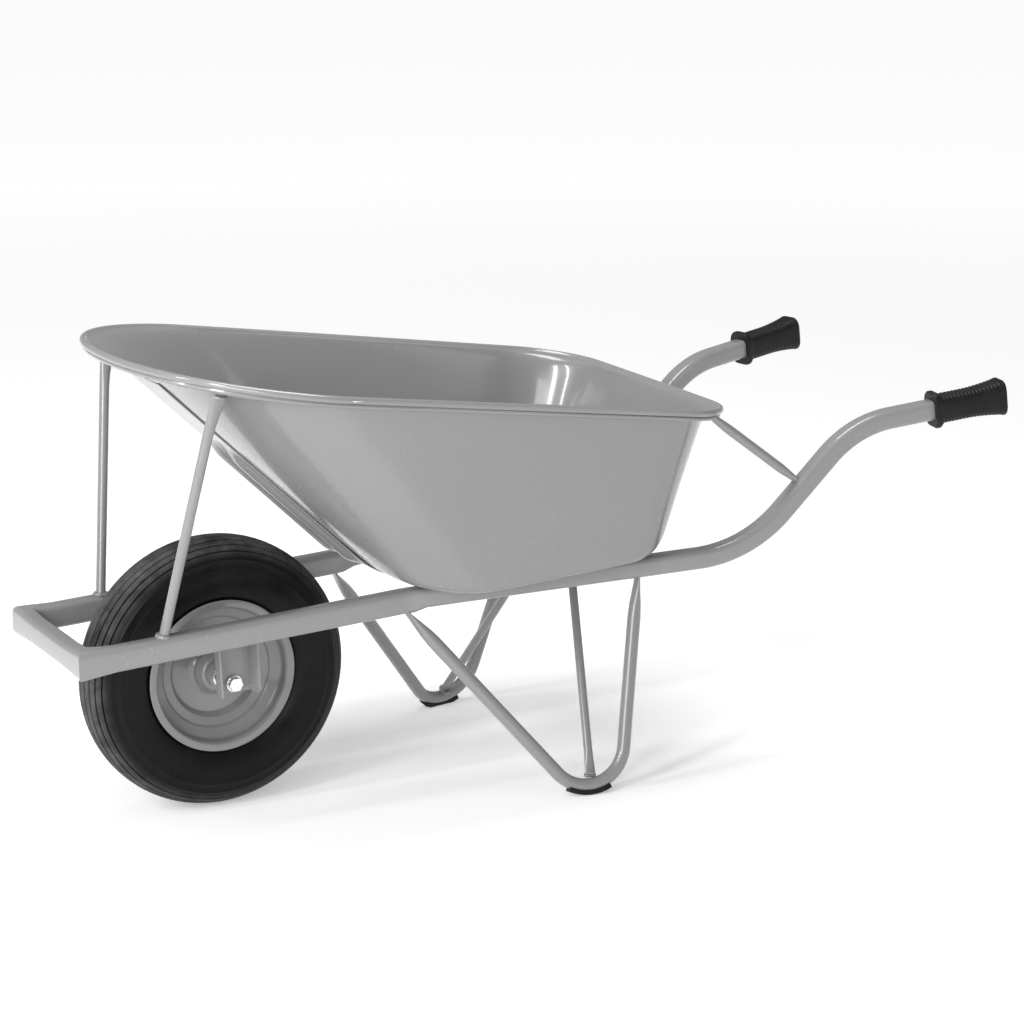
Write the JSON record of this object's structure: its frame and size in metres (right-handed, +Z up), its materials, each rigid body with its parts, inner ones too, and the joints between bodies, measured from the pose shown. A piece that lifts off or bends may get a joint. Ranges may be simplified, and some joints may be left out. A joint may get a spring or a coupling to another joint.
{
  "type": "wheelbarrow",
  "caption": "Builder's wheelbarrow: a pressed steel tray welded on a bent tube frame with V legs and stays, on one pneumatic wheel that spins on ball bearings.",
  "frame": {"origin": "on the ground, under the middle of the wheelbarrow's length and width, which are those of its frame from the front crosspiece to the grips' ends", "axes": "+X towards the handles, the wheel being at the -X end; +Y to the right of the person who pushes it; +Z up"},
  "size_m": [1.4489, 0.6212, 0.6868],
  "materials": {
    "paint": "satin",
    "tyre": "satin",
    "rubber": "matte",
    "plastic": "matte",
    "zinc": "satin",
    "bearing_steel": "polished"
  },
  "bodies": {
    "frame": {"bearing_inner_rings": "bearing_steel", "bearing_spacer": "zinc", "axle_spacers": "zinc", "axle_bolt": "zinc", "axle_washers": "zinc", "axle_nut": "zinc", "axle_bracket_left": "paint", "axle_bracket_right": "paint", "side_tube_left": "paint", "side_tube_right": "paint", "front_crosspiece": "paint", "grip_left": "rubber", "grip_right": "rubber", "tray": "paint", "rim_wire": "zinc", "nose_bar": "paint", "nose_plate": "paint", "front_stay_left": "paint", "front_stay_right": "paint", "rear_stay_left": "paint", "rear_stay_right": "paint", "leg_left": "paint", "leg_right": "paint", "leg_brace_left": "paint", "leg_brace_right": "paint", "foot_shoe_left": "rubber", "foot_shoe_right": "rubber", "cross_bar_front": "paint", "cross_bar_rear": "paint"},
    "wheel": {"tyre": "tyre", "inner_tube": "rubber", "rim_left": "paint", "rim_right": "paint", "hub_tube": "paint", "bearing_outer_rings": "bearing_steel", "bearing_balls": "bearing_steel", "valve_stem": "rubber", "valve_cap": "plastic"}
  },
  "joints": [
    {"name": "wheel_spin", "type": "hinge", "parent": "frame", "child": "wheel", "pos_m": [-0.47086, 0, 0.2], "axis": [0, 1, 0], "continuous": true}
  ]
}
